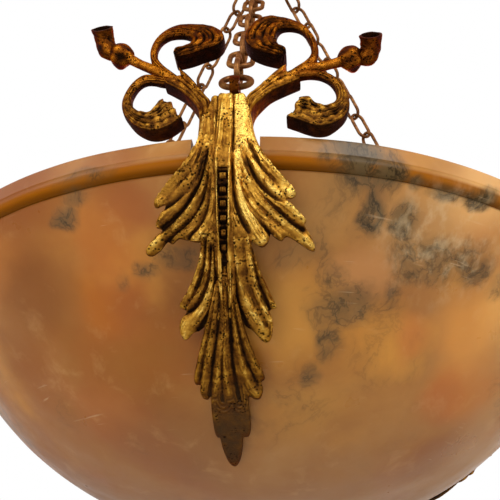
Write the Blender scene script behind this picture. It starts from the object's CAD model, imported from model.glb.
import math

import bmesh
import bpy
import numpy as np
from mathutils import Matrix, Vector
from mathutils.geometry import delaunay_2d_cdt


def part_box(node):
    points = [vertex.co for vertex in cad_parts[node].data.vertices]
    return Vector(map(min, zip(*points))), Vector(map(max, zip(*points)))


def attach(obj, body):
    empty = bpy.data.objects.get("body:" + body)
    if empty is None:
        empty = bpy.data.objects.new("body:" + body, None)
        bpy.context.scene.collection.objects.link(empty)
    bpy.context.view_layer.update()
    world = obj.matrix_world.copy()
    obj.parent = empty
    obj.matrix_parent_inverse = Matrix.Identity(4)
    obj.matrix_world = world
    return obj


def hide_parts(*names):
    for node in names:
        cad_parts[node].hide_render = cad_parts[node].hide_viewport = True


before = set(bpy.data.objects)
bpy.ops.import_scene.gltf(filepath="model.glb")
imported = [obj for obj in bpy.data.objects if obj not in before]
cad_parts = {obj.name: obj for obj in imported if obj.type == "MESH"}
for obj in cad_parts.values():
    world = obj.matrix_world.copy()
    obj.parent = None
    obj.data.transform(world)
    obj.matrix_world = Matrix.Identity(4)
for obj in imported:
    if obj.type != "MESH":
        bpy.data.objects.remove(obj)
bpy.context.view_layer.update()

MM = 0.001
SIDES = ("front", "right", "left")
bowl_low, bowl_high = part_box("alabaster_bowl")
RIM_Z = bowl_high.z / MM
RIM_R = round(bowl_high.y / MM, 1)
BOWL_DEPTH = (bowl_high.z - bowl_low.z) / MM

# Bowl
FACE_H = 7.5
BEAD_H = 5.5
BEAD_IN = 4.0
FLARE_TOP = FACE_H + BEAD_H
FLARE_LOW = 52.0
FLARE_SLOPE = 0.73
BODY_R = RIM_R - 17.5
CURVE_TOP = 16.0
WALL = 12.0
FLOOR_T = 13.0
CURVE = 1.36
ROUND = 2.314
EDGE_R = 1.2
EDGE_STEP = 3.0
BOWL_SIDES = 288
# Unevenness of the stone: height, size and seed of each noise
DENTS = ((0.22, 90, 3), (0.10, 26, 4))
NOTCH_W = 25.6
NOTCH_DEPTH = 14.0
NOTCH_CORNER = 3.0
# How far the cutters reach past the stone
NOTCH_CLEAR = 6.0
CUT_CLEAR = 3.0
SPOT_FACE_R = 9.0
SPOT_FACE_FROM = 141.0
SCREW_HOLE_R = 3.5
SCREW_H = 20.0
BUFFER_H = 43.0
BUFFER_T = 2.5

# Leaf surface
LEAF_LEN = 100.0
KNEE = 12.0
NECK_TOP = 14.0
LEAN = math.radians(2.5)
TIP_PROUD = 8.8
KNEE_PROUD = 25.0
KNEE_POWER = 1.6
STEM_T = 3.0
THINNEST = 0.3
# A carved line: its drawn widths times this, how steep it is, and how far it counts as near
RIDGE_SHARE = 0.76
RIDGE_POWER = 1.4
FAR_OFF = 9.0
# Relief and tone on the far side of a sheet
BACK_RELIEF = -0.4
BACK_TONE = 0.75

# Bosses, the lug and the tang behind the leaf
BOSS_R = 5.4
BOSS_SUNK = 4.8
BOSS_STEP = 4.0
LUG_EYE = (168.43, 43.94)
LUG_EYE_R = 2.6
LUG_R = 5.2
LUG_T = 4.0
TANG_W = 6.0
PLATE_OUT = RIM_R + 2.5
PLATE_IN = RIM_R - 13
PLATE_LOW = -10.0

# Scroll crest
CREST_MID = RIM_R - 1.5
RIBBON_POINTS = 25
HEAD_T = 9.0
ARM_T = 4.4
KNOB_R = 5.0

# Chain line, in radius and height
RING_AT = (165.0, 50.5)
EAR_AT = (20.9, 326.192)
RING_MEAN = 6.6
RING_WIRE = 2.8
LINKS = 16
LINK_SPAN = 21.7
LINK_MEAN = 5.7
LINK_WIRE = 2.6
LINK_PITCH = 18.98
LINK_PLAY = 0.12
FIRST_BAR = -(RING_WIRE + LINK_WIRE) / 2 - LINK_PLAY
# Thickness of the wire at its butt joint, as a share of the rest
SEAM_SHARE = 0.78

# Angles above which an edge stays sharp, in degrees
BOWL_CRISP = 60
CUT_CRISP = 40
CASTING_CRISP = 55
WIRE_CRISP = 70

# Floor, light and camera: metres, degrees and pixels, but the camera's place in rim radii
FLOOR_DROP = 0.42
FLOOR_HALF = 6.0
WORLD_LIGHT = 0.38
AIM_DROP = 0.03
CAMERA_TURN, CAMERA_PITCH, CAMERA_ROLL = 4.346, 29.484, 0.415
CAMERA_AWAY, CAMERA_BELOW = 2.0, 0.823
FOCAL_PX, CENTRE_PX, PHOTO_PX = 653.7, 263.427, 500


# Small helpers
def srgb(r, g, b):
    """A colour given in 0..255 as the eye sees it, as linear values."""
    def line(c):
        c /= 255
        return c / 12.92 if c <= 0.04045 else ((c + 0.055) / 1.055) ** 2.4
    return (line(r), line(g), line(b), 1.0)


def smooth(a, b, x):
    t = np.clip((x - a) / (b - a), 0, 1)
    return t * t * (3 - 2 * t)


def hill(x, width):
    return np.exp(-(x / width) ** 2)


def spline(points, steps=4, closed=False):
    """Smooth curve through the points."""
    p = np.array(points, float)
    n = len(p)
    out = []
    for i in range(n if closed else n - 1):
        if closed:
            a, b, c, d = p[(i - 1) % n], p[i], p[(i + 1) % n], p[(i + 2) % n]
        else:
            a, b, c, d = p[max(i - 1, 0)], p[i], p[i + 1], p[min(i + 2, n - 1)]
        for k in range(steps):
            t = k / steps
            out.append(0.5 * (2 * b + (c - a) * t + (2 * a - 5 * b + 4 * c - d) * t * t
                              + (3 * b - a - 3 * c + d) * t ** 3))
    if not closed:
        out.append(p[-1])
    return np.array(out)


def resample(loop, step):
    """The closed loop with points about a step apart, its own corners kept."""
    out = []
    for a, b in zip(loop, np.roll(loop, -1, axis=0)):
        n = max(1, int(np.linalg.norm(b - a) / step))
        out += [a + (b - a) * k / n for k in range(n)]
    return np.array(out)


def nearest(points, path):
    """Distance to a path, and how far along it the nearest place is, from 0 to 1."""
    a, d = path[:-1], path[1:] - path[:-1]
    length = np.maximum(np.linalg.norm(d, axis=1), 1e-9)
    start = np.concatenate([[0], np.cumsum(length)])[:-1]
    best = np.full(len(points), 1e9)
    along = np.zeros(len(points))
    for k in range(len(a)):
        t = np.clip(((points - a[k]) @ d[k]) / length[k] ** 2, 0, 1)
        r = np.linalg.norm(points - (a[k] + t[:, None] * d[k]), axis=1)
        closer = r < best
        best[closer] = r[closer]
        along[closer] = start[k] + t[closer] * length[k]
    return best, along / length.sum()


def inside(points, loop):
    x, y = points[:, 0], points[:, 1]
    hit = np.zeros(len(points), bool)
    for (x0, y0), (x1, y1) in zip(loop, np.roll(loop, -1, axis=0)):
        if y0 != y1:
            hit ^= ((y0 > y) != (y1 > y)) & (x < (x1 - x0) * (y - y0) / (y1 - y0) + x0)
    return hit


def wobble(points, size, seed):
    """Smooth repeatable noise from about -1 to 1, for points in millimetres."""
    rng = np.random.RandomState(seed)
    out = np.zeros(len(points))
    for _ in range(7):
        way = rng.normal(size=points.shape[1])
        way *= rng.uniform(0.6, 1.6) * 2 * math.pi / size / np.linalg.norm(way)
        out += np.sin(points @ way + rng.uniform(0, 2 * math.pi))
    return out / 4


def at_mount(points, i):
    """Points of mount i, in millimetres about the front one, as metres in the row frame."""
    a = math.radians(360 / len(SIDES) * i)
    c, s = math.cos(a), math.sin(a)
    x, y, z = np.array(points, float).T
    return np.c_[c * x - s * y, s * x + c * y, z + RIM_Z] * MM


# Shapes
class Shape:
    """Vertices in millimetres, faces, and three values per vertex that the castings read:
    how far the carving stands up, how gold it is, and how far it is from a carved line."""
    def __init__(self, verts, faces, relief=0.0, tone=0.5, strand=0.0):
        self.verts = np.array(verts, float)
        self.faces = [tuple(int(v) for v in f) for f in faces]
        self.values = {key: np.broadcast_to(value, len(self.verts)).astype(float)
                       for key, value in (("relief", relief), ("tone", tone), ("strand", strand))}


def join(shapes):
    faces = []
    start = 0
    for s in shapes:
        faces += [tuple(v + start for v in f) for f in s.faces]
        start += len(s.verts)
    values = {key: np.concatenate([s.values[key] for s in shapes]) for key in shapes[0].values}
    return Shape(np.vstack([s.verts for s in shapes]), faces, **values)


def new_object(name, verts, faces, material):
    """An object of vertices in metres, its faces turned outwards."""
    mesh = bpy.data.meshes.new(name)
    mesh.from_pydata(verts.tolist(), [], faces)
    bm = bmesh.new()
    bm.from_mesh(mesh)
    bmesh.ops.recalc_face_normals(bm, faces=bm.faces)
    bm.to_mesh(mesh)
    bm.free()
    mesh.materials.append(material)
    obj = bpy.data.objects.new(name, mesh)
    bpy.context.scene.collection.objects.link(obj)
    return obj


def piece(name, shape, material, replaced, mount, crisp):
    """The shape at one mount, as an object that rides on the pendant and has its own finish."""
    obj = new_object(name, at_mount(shape.verts, mount), shape.faces, material)
    for key, values in shape.values.items():
        obj.data.attributes.new(key, "FLOAT", "POINT").data.foreach_set("value", values)
    obj.data.shade_smooth()
    obj.data.set_sharp_from_angle(angle=math.radians(crisp))
    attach(obj, "pendant")
    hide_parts(replaced)
    return obj


def loop_edges(count, start=0):
    return [(start + k, start + (k + 1) % count) for k in range(count)]


def band_faces(rows, sides, closed=False):
    """Faces between rings of vertices that follow each other."""
    faces = []
    for i in range(rows if closed else rows - 1):
        j = (i + 1) % rows
        for a, b in loop_edges(sides):
            faces.append((i * sides + a, i * sides + b, j * sides + b, j * sides + a))
    return faces


def cap_faces(rows, sides):
    """The flat ends of a row of rings."""
    first = tuple(range(sides))
    return [first[::-1], tuple((rows - 1) * sides + k for k in first)]


def plate_faces(tris, count):
    """The front triangles of a plate, its back ones, and the wall round every edge."""
    edges = dict.fromkeys(e for a, b, c in tris for e in ((a, b), (b, c), (c, a)))
    wall = [(b, a, a + count, b + count) for a, b in edges if (b, a) not in edges]
    return tris + [(c + count, b + count, a + count) for a, b, c in tris] + wall


def sweep(path, ahead, radii, side_way):
    """Rings of vertices along a path; radii holds a row for each ring."""
    sides = radii.shape[1]
    verts = []
    for q, row, d in zip(path, radii, ahead):
        d = d / np.linalg.norm(d)
        u = np.cross(side_way, d)
        u /= np.linalg.norm(u)
        v = np.cross(d, u)
        for k, r in enumerate(row):
            a = 2 * math.pi * k / sides
            verts.append(q + r * (math.cos(a) * u + math.sin(a) * v))
    return verts


def tube(path, radius, sides=16, closed=False, side_way=(0, 1, 0)):
    """A round section along a path, with one radius or one for each point."""
    p = np.array(path, float)
    n = len(p)
    ahead = np.roll(p, -1, axis=0) - np.roll(p, 1, axis=0)
    if not closed:
        ahead[0], ahead[-1] = p[1] - p[0], p[-1] - p[-2]
    radii = np.repeat(np.broadcast_to(radius, n)[:, None], sides, axis=1)
    faces = band_faces(n, sides, closed)
    if not closed:
        faces += cap_faces(n, sides)
    return Shape(sweep(p, ahead, radii, side_way), faces)


def ridges(points, lines):
    """Height from lines of (points, height, half width at the root, half width at the end),
    and the distance to the nearest of them."""
    h = np.zeros(len(points))
    away = np.full(len(points), FAR_OFF)
    for path, height, w0, w1 in lines:
        d, t = nearest(points, spline(path, 3))
        w = RIDGE_SHARE * (w0 + (w1 - w0) * t)
        h += height * np.exp(-(d / w) ** RIDGE_POWER)
        away = np.minimum(away, d)
    return h, away


def sheet(outline, front, back, tone, spacing=0.6, edge=0.9):
    """A cast sheet on the leaf surface. front gives heights over it, how much of them is
    carving and the distance to a carved line; back gives the heights of the far side."""
    loop = resample(spline(outline, 3, closed=True), spacing * 0.8)
    lo, hi = loop.min(0), loop.max(0)
    rows = np.arange(lo[1], hi[1], spacing * 0.87)
    grid = np.array([(x + (k % 2) * spacing / 2, y) for k, y in enumerate(rows)
                     for x in np.arange(lo[0], hi[0], spacing)])
    ring = np.vstack([loop, loop[:1]])
    grid = grid[inside(grid, loop)]
    grid = grid[nearest(grid, ring)[0] > spacing * 0.4]
    flat = np.vstack([loop, grid])
    out = delaunay_2d_cdt([Vector(p) for p in flat], loop_edges(len(loop)), [], 1, 1e-6)
    flat = np.array([(v.x, v.y) for v in out[0]])
    lip = 1 - np.clip(nearest(flat, ring)[0] / edge, 0, 1)
    h, carved, strand = front(flat)
    h = h - edge * (1 - np.sqrt(np.maximum(0, 1 - lip * lip)))
    verts = np.vstack([on_leaf(flat, h), on_leaf(flat, np.minimum(back(flat), h - THINNEST))])
    n = len(flat)
    shade = tone(flat)
    return Shape(verts, plate_faces([tuple(f) for f in out[2]], n),
                 np.concatenate([carved, np.full(n, BACK_RELIEF)]),
                 np.concatenate([shade, shade * BACK_TONE]),
                 np.concatenate([strand, np.zeros(n)]))


# Surfaces of the bowl and the leaf
def body_radius(z):
    """The curve of the lower body, run on upwards."""
    t = np.clip((-z - CURVE_TOP) / (BOWL_DEPTH - CURVE_TOP), 0, 1)
    return BODY_R * (1 - t ** CURVE) ** (1 / ROUND)


def stone_radius(z):
    """Outside of the stone below the moulding: a flared side, then the curve."""
    z = np.asarray(z, float)
    h = FLARE_LOW - FLARE_TOP
    u = np.clip((-z - FLARE_TOP) / h, 0, 1)
    above, end, below = body_radius(np.array([0.5, 0.0, -0.5]) - FLARE_LOW)
    flare = ((2 * u ** 3 - 3 * u * u + 1) * (RIM_R - BEAD_IN) - (u ** 3 - 2 * u * u + u) * FLARE_SLOPE * h
             + (3 * u * u - 2 * u ** 3) * end - (u ** 3 - u * u) * (above - below) * h)
    return np.where(z < -FLARE_LOW, body_radius(z), flare)


def leaf_radius(z):
    z = np.asarray(z, float)
    u = np.clip((-z - KNEE) / (LEAF_LEN - KNEE), 0, 1)
    base = np.where(z > -KNEE, BODY_R, body_radius(z))
    return base + TIP_PROUD + (KNEE_PROUD - TIP_PROUD) * (1 - u) ** KNEE_POWER


def on_leaf(flat, h):
    """On the curved leaf surface, a height h towards the viewer."""
    r = leaf_radius(flat[:, 1]) + h
    return np.c_[flat[:, 0], -np.sqrt(r * r - flat[:, 0] ** 2), flat[:, 1]]


def on_bowl(x, z):
    """A place on the front of the bowl, by its x and its height from the rim top."""
    r = RIM_R if z > -FLARE_TOP else float(stone_radius(z))
    return (x, -math.sqrt(max(r * r - x * x, 1.0)), z + RIM_Z)


# Materials
# Soft patches of colour on the stone: x, height, radius in millimetres, strength, colour
STONE_PATCHES = [
    (-50, -28, 30, 0.5, (180, 104, 34)), (-36, -20, 17, 0.5, (140, 70, 30)),
    (-58, -46, 17, 0.55, (166, 92, 14)), (-84, -40, 28, 0.6, (112, 58, 10)),
    (-100, -54, 28, 0.45, (118, 64, 14)), (-64, -62, 24, 0.45, (130, 76, 12)),
    (-40, -68, 26, 0.5, (134, 84, 20)), (-30, -92, 36, 0.45, (122, 80, 44)),
    (-90, -4, 34, 0.65, (126, 58, 6)), (-48, -4, 24, 0.55, (132, 68, 18)),
    (-104, -22, 26, 0.5, (170, 102, 40)), (34, -26, 26, 0.5, (176, 130, 70)),
    (40, -2, 24, 0.55, (136, 98, 50)), (72, -24, 30, 0.5, (176, 134, 84)),
    (49, -42, 17, 0.5, (192, 136, 82)), (22, -54, 28, 0.6, (200, 142, 60)),
    (52, -62, 22, 0.5, (204, 140, 54)), (26, -84, 26, 0.5, (186, 132, 58)),
    (67, -60, 13, 0.5, (184, 104, 46)), (88, -72, 20, 0.6, (178, 92, 28)),
    (96, -52, 28, 0.55, (220, 146, 62)), (118, -34, 30, 0.6, (234, 170, 88)),
    (100, -6, 30, 0.6, (232, 178, 112)), (36, -104, 34, 0.45, (140, 92, 56)),
    (84, -90, 34, 0.6, (138, 76, 20)), (104, -68, 24, 0.6, (186, 108, 30)),
    (-20, -60, 24, 0.4, (132, 80, 22)), (-90, -66, 30, 0.5, (140, 78, 24))]
# Grey marks: x, height, radius, how far each way, strength
SMOKE_MARKS = [
    (48, -5, 20, (1, 1, 0.9), 1.3), (56, -11, 14, (1.2, 1, 0.9), 1.3), (34, -9, 8, (1, 1, 0.8), 0.6),
    (53, -22, 12, (0.8, 1, 1.5), 1.2), (67, -24, 12, (0.8, 1, 1.3), 0.9),
    (38, -18, 14, (1.2, 1, 0.8), 0.25), (74, -35, 19, (1.2, 1, 0.8), 0.75),
    (92, -32, 15, (1, 1, 0.9), 0.6), (108, -34, 12, (1, 1, 1), 0.4), (58, -48, 9, (0.7, 1, 1.2), 0.5),
    (40, -45, 9, (0.7, 1, 1.3), 0.5), (43, -53, 15, (1.1, 1, 0.8), 0.7), (35, -62, 9, (0.6, 1, 1.4), 0.7),
    (29, -70, 8, (0.6, 1, 1.3), 0.6), (25, -37, 12, (1.3, 1, 0.6), 0.4),
    (-20, -36, 11, (1.3, 1, 0.6), 0.5), (-34, -39, 9, (1.2, 1, 0.6), 0.7),
    (-43, -41, 7, (1, 1, 1.2), 0.8), (-67, -19, 10, (1, 1, 0.8), 0.8), (-62, -14, 7, (1.6, 1, 0.8), 0.6),
    (-58, -7, 12, (1.6, 1, 0.5), 0.6), (71, -10, 7, (0.8, 1, 0.8), 0.9), (84, -11, 8, (1.3, 1, 0.6), 0.8),
    (97, -11, 10, (1.5, 1, 0.6), 1)]
WARP = 0.03
BRONZE_LIGHT = srgb(214, 150, 92)
CREST_TINT = (1.0, 0.72, 0.42, 1.0)
# Heights between which a look comes in
CREST_REDDENS = (12, 36)
FOOT_DULLS = (-74, -90)
BOWL_DARKENS = (-62, -108)
BEAD_STARTS = (-FACE_H, -FACE_H - 2)
BEAD_ENDS = (-FLARE_TOP - 0.6, -FLARE_TOP + 0.4)
BEAD_SHADES = (-10, -12.5)


class Value:
    """An output of a node, with which the usual signs make math nodes."""
    def __init__(self, tree, socket):
        self.tree = tree
        self.socket = socket

    def __add__(self, other):
        return self.tree.math("ADD", self, other)

    def __sub__(self, other):
        return self.tree.math("SUBTRACT", self, other)

    def __rsub__(self, other):
        return self.tree.math("SUBTRACT", other, self)

    def __mul__(self, other):
        return self.tree.math("MULTIPLY", self, other)

    def __abs__(self):
        return self.tree.math("ABSOLUTE", self, 0.0)


class Tree:
    """Builds the nodes of a material or a world. Names of inputs have _ for a space."""
    def __init__(self, name, owners=bpy.data.materials, shader="Principled BSDF"):
        self.owner = owners.new(name)
        self.owner.use_nodes = True
        self.tree = self.owner.node_tree
        self.shader = self.tree.nodes[shader]
        self.place = self.node("Object", "ShaderNodeTexCoord")

    def put(self, socket, value):
        if isinstance(value, Value):
            self.tree.links.new(value.socket, socket)
        else:
            socket.default_value = value

    def node(self, output, kind, *sources, **values):
        """Makes a node and gives one of its outputs; sources fill its inputs in their order."""
        made = self.tree.nodes.new(kind)
        for key, value in values.items():
            if hasattr(made, key):
                setattr(made, key, value)
            else:
                self.put(made.inputs[key.replace("_", " ")], value)
        for socket, value in zip(made.inputs, sources):
            self.put(socket, value)
        return Value(self, made.outputs[output])

    def set(self, **values):
        """Fills the inputs of the shader and gives the finished material or world."""
        for key, value in values.items():
            self.put(self.shader.inputs[key.replace("_", " ")], value)
        return self.owner

    def math(self, kind, a, b):
        return self.node("Value", "ShaderNodeMath", a, b, operation=kind)

    def vector(self, kind, *sources, output="Vector"):
        return self.node(output, "ShaderNodeVectorMath", *sources, operation=kind)

    def noise(self, scale, detail=4, rough=0.5, where=None, output="Fac"):
        return self.node(output, "ShaderNodeTexNoise", Scale=scale, Detail=detail, Roughness=rough,
                         Vector=where or self.place)

    def cells(self, scale):
        return self.node("Distance", "ShaderNodeTexVoronoi", Scale=scale, Vector=self.place)

    def attribute(self, name):
        return self.node("Fac", "ShaderNodeAttribute", attribute_name=name)

    def axis(self, name):
        return self.node(name, "ShaderNodeSeparateXYZ", self.place)

    def moved(self, scale=(1, 1, 1), shift=(0, 0, 0), turn=(0, 0, 0), source=None):
        return self.node("Vector", "ShaderNodeMapping", Vector=source or self.place, Location=shift,
                         Rotation=turn, Scale=scale)

    def between(self, value, low, high):
        """0 below low, 1 above high, smooth in between."""
        return self.node("Result", "ShaderNodeMapRange", interpolation_type="SMOOTHSTEP", Value=value,
                         From_Min=low, From_Max=high)

    def by_height(self, low, high):
        """0 at one height and 1 at the other, in millimetres from the rim top."""
        return self.between(self.axis("Z"), (RIM_Z + low) * MM, (RIM_Z + high) * MM)

    def near(self, where, radius, stretch=(1, 1, 1), source=None):
        """1 near a place given in millimetres, falling to 0 at the radius."""
        away = self.vector("SUBTRACT", source or self.place, [v * MM for v in where])
        wide = self.vector("MULTIPLY", away, [1 / (radius * MM * s) for s in stretch])
        return self.between(self.vector("LENGTH", wide, output="Value"), 1.0, 0.25)

    def ramp(self, value, *stops):
        """Values or colours in 0..255 at their places along the ramp."""
        made = self.node("Color", "ShaderNodeValToRGB", value)
        items = made.socket.node.color_ramp.elements
        while len(items) < len(stops):
            items.new(0.5)
        for item, (at, look) in zip(items, stops):
            item.position = at
            item.color = srgb(*look) if isinstance(look, tuple) else (look, look, look, 1)
        return made

    def mix(self, factor, a, b, blend):
        made = self.tree.nodes.new("ShaderNodeMix")
        made.data_type = "RGBA"
        made.blend_type = blend
        for k, value in ((0, factor), (6, a), (7, b)):
            self.put(made.inputs[k], value)
        return Value(self, made.outputs[2])

    def tint(self, colour, mask, rgb):
        """The colour with another one over it where the mask is 1."""
        return self.mix(mask, colour, srgb(*rgb), "MIX")

    def bump(self, height, distance, strength):
        return self.node("Normal", "ShaderNodeBump", Strength=strength, Distance=distance, Height=height)


def cast_bronze():
    """Gilded casting: gold on the high places, dark wax and dirt in the hollows, small pits."""
    t = Tree("cast_bronze")
    relief = t.attribute("relief")
    away = t.attribute("strand")
    mottle = t.noise(260, 5, 0.6)
    grain = t.noise(1400, 4, 0.65)
    streak = t.noise(60, 5, 0.6, where=t.moved(scale=(1, 1, 4.5)))
    high = (t.between(relief, -1.0, 1.4) - 0.38) * 0.55
    deep = t.between(relief, -0.25, -1.2) * -0.42
    worn = high + deep + t.attribute("tone") + (mottle - 0.5) + (streak - 0.5) * 0.5
    carved = t.between(away, 0.0, 0.1) * t.between(away, 4.5, 3.0)
    lines = t.math("SINE", away * 5.2 + mottle * 5.0, 0.0)
    chased = lines * t.between(t.noise(120, 2), 0.40, 0.62) * carved
    worn = worn + chased * 0.12
    rough_edge = (grain - 0.5) * 0.5
    small = t.between(t.cells(800) + rough_edge, 0.36, 0.20) * t.between(t.noise(130, 4), 0.46, 0.56)
    large = t.between(t.cells(340) + rough_edge, 0.20, 0.11) * t.between(t.noise(95, 2), 0.48, 0.56)
    pits = t.math("MAXIMUM", small, large)
    colour = t.ramp(worn, (0.0, (22, 12, 6)), (0.2, (60, 35, 14)), (0.4, (104, 65, 22)),
                    (0.6, (150, 103, 35)), (0.8, (196, 146, 56)), (1.0, (240, 198, 98)))
    colour = t.tint(colour, t.between(t.noise(55, 4, 0.6), 0.50, 0.72) * 0.4, (96, 48, 16))
    crest = t.by_height(*CREST_REDDENS)
    colour = t.mix(crest, colour, CREST_TINT, "MULTIPLY")
    colour = t.tint(colour, t.by_height(*FOOT_DULLS) * 0.6, (84, 64, 42))
    colour = t.tint(colour, pits * 0.92, (14, 8, 4))
    rough = t.ramp(worn, (0.0, 0.60), (0.4, 0.46), (0.8, 0.32), (1.0, 0.26)) - crest * 0.1
    shape = grain * 0.75 + mottle * 1.2 + streak * 0.4 + chased * 0.42 - pits * 1.4
    return t.set(Base_Color=colour, Roughness=rough, Normal=t.bump(shape, 0.0006, 0.85),
                 Metallic=t.ramp(worn, (0.0, 0.75), (0.35, 0.95), (1.0, 1.0)),
                 Specular_IOR_Level=0.3, Specular_Tint=BRONZE_LIGHT)


def chain_bronze():
    """Wire that has gone brown and dull, brighter where links rub."""
    t = Tree("chain_bronze")
    mottle = t.noise(320, 5, 0.6)
    rubbed = t.between(t.noise(95, 3), 0.45, 0.72)
    colour = t.ramp(mottle, (0.25, (58, 34, 18)), (0.5, (112, 72, 42)), (0.8, (162, 112, 70)))
    return t.set(Base_Color=t.tint(colour, rubbed * 0.35, (188, 132, 72)), Metallic=0.85,
                 Roughness=t.ramp(mottle, (0.2, 0.62), (0.8, 0.38)),
                 Normal=t.bump(t.noise(1500, 4, 0.6), 0.0002, 0.6),
                 Specular_IOR_Level=0.3, Specular_Tint=srgb(226, 172, 126))


def turned_metal(name, dark, mid, light, rough):
    """Spun or turned metal: fine tool rings, soft tarnish and darker spots."""
    t = Tree(name)
    mottle = t.noise(60, 5, 0.6)
    spots = t.between(t.noise(240, 4, 0.6), 0.55, 0.75)
    rings = t.noise(900, 2, 0.5, where=t.moved(scale=(0.04, 0.04, 1.0)))
    colour = t.ramp(mottle, (0.28, dark), (0.5, mid), (0.74, light))
    return t.set(Base_Color=t.tint(colour, spots * 0.5, dark), Metallic=1.0,
                 Roughness=mottle * 0.3 + (rough - 0.12),
                 Normal=t.bump(rings + t.noise(700, 3) * 0.4, 0.0001, 0.5))


def alabaster():
    """Honey, orange and rose stone, cloudy and waxed, with smoky grey marks."""
    t = Tree("alabaster")
    push = t.noise(26, 4, output="Color")
    warped = t.vector("MULTIPLY_ADD", push, [WARP] * 3, t.moved(shift=[-WARP / 2] * 3))
    cloud = t.noise(11, 6, 0.55, where=warped)
    fine = t.noise(60, 7, 0.62, where=warped)

    # The colour of the ground, from left to right and in soft patches
    colour = t.ramp(cloud, (0.30, (120, 66, 24)), (0.44, (146, 92, 36)), (0.56, (166, 114, 54)),
                    (0.72, (188, 142, 84)))
    colour = t.tint(colour, t.between(t.axis("X"), 0.01, -0.12) * 0.6, (148, 82, 16))
    colour = t.tint(colour, t.between(t.axis("X"), 0.02, 0.12) * 0.5, (206, 150, 84))
    rose = t.between(t.noise(13, 5, 0.5, where=t.moved(shift=(3, 1, 2))), 0.54, 0.68)
    colour = t.tint(colour, rose * 0.35, (162, 76, 22))
    honey = t.between(t.noise(22, 4, 0.5, where=t.moved(shift=(5, 4, 1))), 0.54, 0.70)
    colour = t.tint(colour, honey * 0.4, (204, 142, 58))
    for x, z, radius, much, rgb in STONE_PATCHES:
        colour = t.tint(colour, t.near(on_bowl(x, z), radius, source=warped) * much, rgb)
    colour = t.tint(colour, t.by_height(*BOWL_DARKENS) * 0.5, (120, 76, 42))
    colour = t.tint(colour, t.between(fine, 0.55, 0.76) * 0.22, (206, 160, 104))
    bead = t.by_height(*BEAD_STARTS) * t.by_height(*BEAD_ENDS)
    colour = t.tint(colour, bead * 0.9, (140, 78, 0))
    colour = t.tint(colour, bead * t.by_height(*BEAD_SHADES) * 0.6, (76, 40, 0))

    # Veins of two widths, cloudy grey marks and a milky streak
    drawn = t.moved(scale=(1.25, 1.25, 0.6), source=warped)
    wide = abs(t.noise(34, 6, 0.62, where=drawn) - 0.5)
    thin = abs(t.noise(95, 5, 0.6, where=drawn) - 0.5)
    marks = None
    for x, z, radius, stretch, much in SMOKE_MARKS:
        spot = t.near(on_bowl(x, z), radius, stretch, source=warped) * much
        marks = spot if marks is None else t.math("MAXIMUM", marks, spot)
    faint = t.between(t.noise(8, 3, 0.5, where=t.moved(shift=(7, 2, 5))), 0.50, 0.64)
    zone = t.math("MAXIMUM", faint * 0.6, marks)
    colour = t.tint(colour, marks * t.between(fine, 0.24, 0.54) * 0.78, (88, 70, 44))
    colour = t.tint(colour, t.between(wide, 0.11, 0.0) * zone * 0.62, (86, 68, 40))
    colour = t.tint(colour, t.between(thin, 0.045, 0.0) * marks * 0.7, (66, 50, 28))
    colour = t.tint(colour, t.between(wide, 0.022, 0.0) * zone * 0.75, (44, 34, 20))
    streak = t.noise(120, 4, 0.6, where=t.moved(scale=(1.4, 1.4, 0.22)))
    milky = t.between(streak, 0.44, 0.72) * t.near(on_bowl(82, -28), 38, source=warped)
    colour = t.tint(colour, milky * 0.4, (214, 188, 146))
    scratch = t.noise(900, 2, 0.4, where=t.moved(scale=(0.06, 0.06, 1), turn=(0.2, 0.35, 0.1)))
    scratched = t.between(scratch, 0.66, 0.72) * t.between(t.noise(24, 2), 0.56, 0.66)
    colour = t.tint(colour, scratched * 0.25, (216, 186, 146))

    shape = t.noise(35, 3, where=warped) + t.noise(600, 4, 0.6) * 0.05 - scratched * 0.1
    return t.set(Base_Color=colour, Roughness=t.ramp(t.noise(40, 4, 0.6), (0.3, 0.26), (0.7, 0.44)),
                 Normal=t.bump(shape, 0.0009, 0.35), IOR=1.52, Specular_IOR_Level=0.22 - bead * 0.19,
                 Subsurface_Weight=0.15, Subsurface_Scale=0.005, Subsurface_Radius=(1.0, 0.45, 0.2))


def sawn_alabaster():
    """Stone left rough by the saw in the notches and bored holes."""
    t = Tree("sawn_alabaster")
    cloud = t.noise(90, 5, 0.6)
    saw = t.noise(500, 3, 0.6, where=t.moved(scale=(1, 1, 3)))
    colour = t.ramp(cloud, (0.3, (150, 104, 72)), (0.6, (196, 152, 116)), (0.8, (224, 196, 168)))
    return t.set(Base_Color=colour, Roughness=0.8, Normal=t.bump(cloud + saw * 0.5, 0.0012, 0.7),
                 Subsurface_Weight=0.15, Subsurface_Scale=0.004)


def leather():
    t = Tree("leather")
    return t.set(Base_Color=t.ramp(t.noise(120, 4, 0.6), (0.3, (58, 34, 20)), (0.7, (104, 66, 40))),
                 Roughness=0.7, Normal=t.bump(t.cells(900), 0.0004, 0.6))


def porcelain():
    t = Tree("porcelain")
    colour = t.ramp(t.noise(90, 3), (0.3, (232, 226, 212)), (0.7, (246, 243, 236)))
    specks = t.between(t.cells(700), 0.06, 0.02)
    return t.set(Base_Color=t.tint(colour, specks * 0.4, (150, 140, 124)), Roughness=0.16,
                 Normal=t.bump(t.noise(200, 3), 0.0002, 0.3))


def lamp_glass():
    """Soft white coated bulb glass."""
    t = Tree("lamp_glass")
    haze = t.noise(80, 4, 0.5)
    return t.set(Base_Color=t.ramp(haze, (0.3, (244, 240, 230)), (0.7, (252, 250, 246))),
                 Roughness=t.ramp(haze, (0.3, 0.16), (0.7, 0.3)), IOR=1.5, Transmission_Weight=0.35,
                 Normal=t.bump(t.noise(1200, 3), 0.00005, 0.4))


def filament():
    t = Tree("filament")
    colour = t.ramp(t.noise(300, 2), (0.3, (226, 180, 70)), (0.7, (244, 214, 120)))
    return t.set(Base_Color=colour, Roughness=0.4)


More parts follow.
